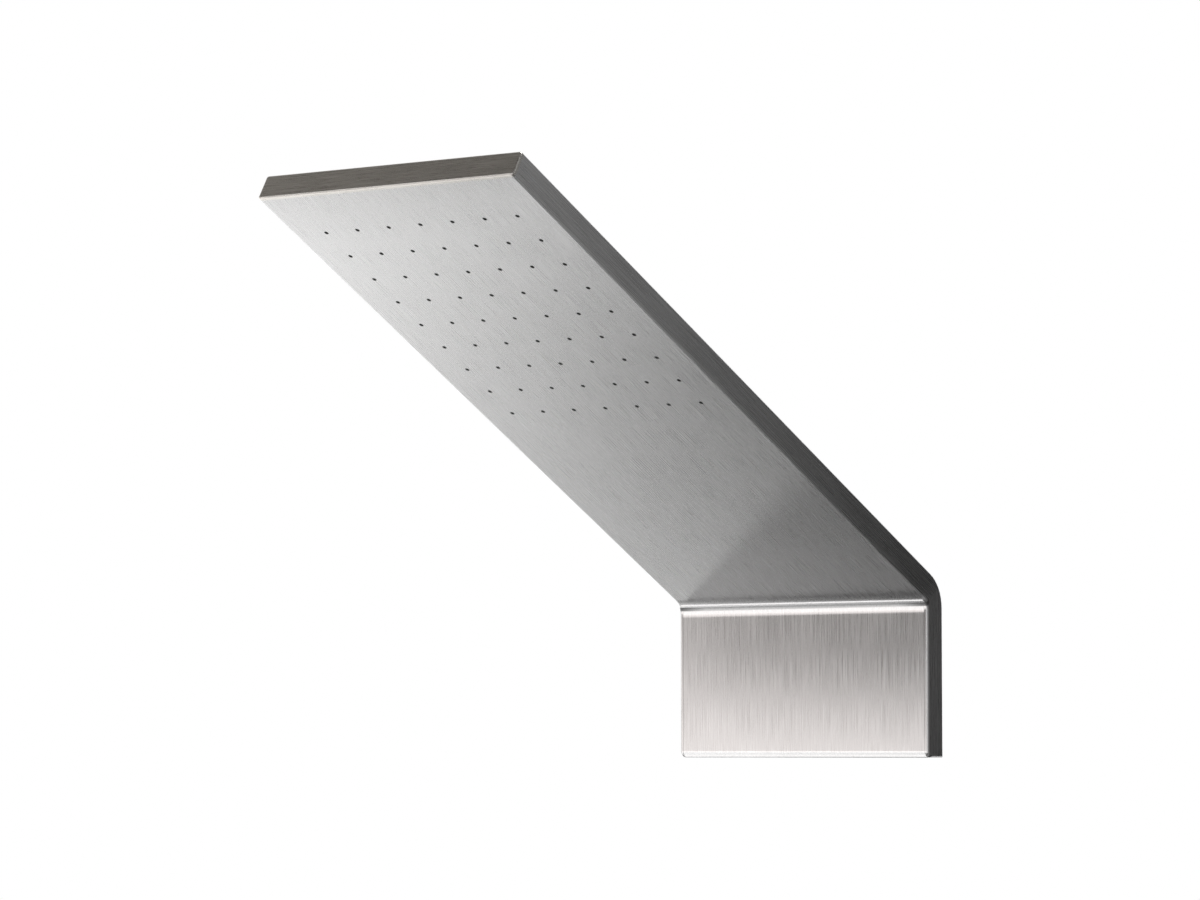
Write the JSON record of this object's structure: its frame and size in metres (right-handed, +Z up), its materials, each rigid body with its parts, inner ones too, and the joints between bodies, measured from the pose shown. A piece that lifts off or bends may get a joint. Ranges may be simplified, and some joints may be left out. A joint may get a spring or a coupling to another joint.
{
  "type": "wall-mounted shower head",
  "caption": "Flat brushed steel shower head: an upright wall base folds into a long slab arm that rises forward, with a grid of plain spray holes in its underside.",
  "frame": {"origin": "on the inlet axis, in the plane of the finished wall", "axes": "+Y along the inlet into the wall, +X across the slab to the right as seen from the room, +Z up"},
  "size_m": [0.12, 0.2684, 0.2097],
  "materials": {
    "satin_steel": "satin stainless, ground along the slab",
    "end_steel": "satin stainless, ground across the slab",
    "pressed_steel": "mill finish stainless",
    "bracket_steel": "plain stainless plate",
    "screw_steel": "plain stainless",
    "adapter_brass": "turned brass",
    "seal_rubber": "matte black",
    "washer_fibre": "pressed fibre",
    "regulator_plastic": "moulded"
  },
  "bodies": {
    "root": {"front_sheet": "satin_steel", "top_sheet": "satin_steel", "left_side_plate": "satin_steel", "right_side_plate": "satin_steel", "tip_plate": "end_steel", "spray_pan": "pressed_steel", "inlet_pan": "pressed_steel", "feed_tube": "pressed_steel", "inlet_spigot": "pressed_steel", "spigot_o_rings": "seal_rubber", "flow_regulator": "regulator_plastic", "regulator_ring": "seal_rubber", "filter_screen": "pressed_steel", "wall_adapter": "adapter_brass", "adapter_washer": "washer_fibre", "wall_bracket": "bracket_steel", "weld_nuts": "screw_steel", "grub_screws": "screw_steel"}
  },
  "joints": []
}
